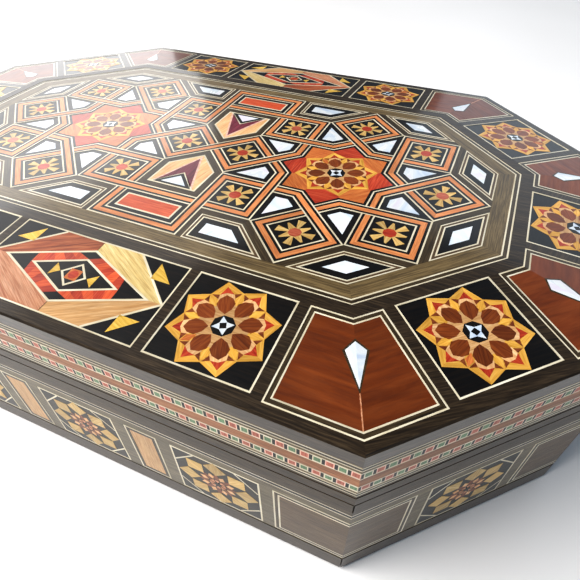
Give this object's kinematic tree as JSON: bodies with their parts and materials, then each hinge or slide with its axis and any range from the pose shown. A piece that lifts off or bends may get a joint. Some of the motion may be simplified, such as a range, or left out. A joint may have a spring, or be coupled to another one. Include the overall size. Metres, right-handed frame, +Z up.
{
  "type": "inlaid wooden box",
  "caption": "Eight-sided elongated wooden box with star and strapwork marquetry, shell inlay, a gently sloping lid border and a hinged, velvet-lined lid.",
  "frame": {"origin": "centre of the underside, on the surface the box stands on", "axes": "+X along the long side to the right, +Y to the hinged back, +Z up"},
  "size_m": [0.3002, 0.1972, 0.0793],
  "materials": {
    "walnut": "dark walnut, glossy lacquer",
    "mahogany": "red-brown wood, glossy lacquer",
    "star_inlay": "inlaid gold, brown and black woods, glossy lacquer",
    "lozenge_inlay": "inlaid veneers, glossy lacquer",
    "field_inlay": "inlaid woods and shell, glossy lacquer",
    "banding": "chequered banding, glossy lacquer",
    "side_inlay": "inlaid woods, glossy lacquer",
    "plywood": "plain, unfinished",
    "velvet": "deep red velvet",
    "felt": "dark felt",
    "brass": "polished, slightly worn"
  },
  "bodies": {
    "base": {"base_floor_board": "plywood", "base_inlay_back": "side_inlay", "base_inlay_back_left": "side_inlay", "base_inlay_back_right": "side_inlay", "base_inlay_front": "side_inlay", "base_inlay_front_left": "side_inlay", "base_inlay_front_right": "side_inlay", "base_inlay_left": "side_inlay", "base_inlay_right": "side_inlay", "base_screw_1": "brass", "base_screw_2": "brass", "base_screw_3": "brass", "base_screw_4": "brass", "base_wall_back": "walnut", "base_wall_back_left": "walnut", "base_wall_back_right": "walnut", "base_wall_front": "walnut", "base_wall_front_left": "walnut", "base_wall_front_right": "walnut", "base_wall_left": "walnut", "base_wall_right": "walnut", "floor_velvet": "velvet", "hinge_base_leaf_left": "brass", "hinge_base_leaf_right": "brass", "hinge_pin_left": "brass", "hinge_pin_right": "brass", "underside_felt": "felt", "wall_velvet": "velvet"},
    "lid": {"corner_panel_back_left_to_left": "mahogany", "corner_panel_back_right_to_back": "mahogany", "corner_panel_back_to_back_left": "mahogany", "corner_panel_front_left_to_front": "mahogany", "corner_panel_front_right_to_right": "mahogany", "corner_panel_front_to_front_right": "mahogany", "corner_panel_left_to_front_left": "mahogany", "corner_panel_right_to_back_right": "mahogany", "hinge_lid_leaf_left": "brass", "hinge_lid_leaf_right": "brass", "lid_banding": "banding", "lid_board": "walnut", "lid_ceiling_velvet": "velvet", "lid_field_inlay": "field_inlay", "lid_rim": "walnut", "lid_rim_velvet": "velvet", "lid_screw_1": "brass", "lid_screw_2": "brass", "lid_screw_3": "brass", "lid_screw_4": "brass", "lozenge_panel_back": "lozenge_inlay", "lozenge_panel_front": "lozenge_inlay", "star_panel_back_left": "star_inlay", "star_panel_back_left_end": "star_inlay", "star_panel_back_right": "star_inlay", "star_panel_back_right_end": "star_inlay", "star_panel_front_left": "star_inlay", "star_panel_front_left_end": "star_inlay", "star_panel_front_right": "star_inlay", "star_panel_front_right_end": "star_inlay", "star_panel_left": "star_inlay", "star_panel_right": "star_inlay"}
  },
  "joints": [
    {"name": "lid_hinge", "type": "hinge", "parent": "base", "child": "lid", "pos_m": [0, 0.09598, 0.05132], "axis": [-1, 0, 0], "range_deg": [0, 95]}
  ]
}
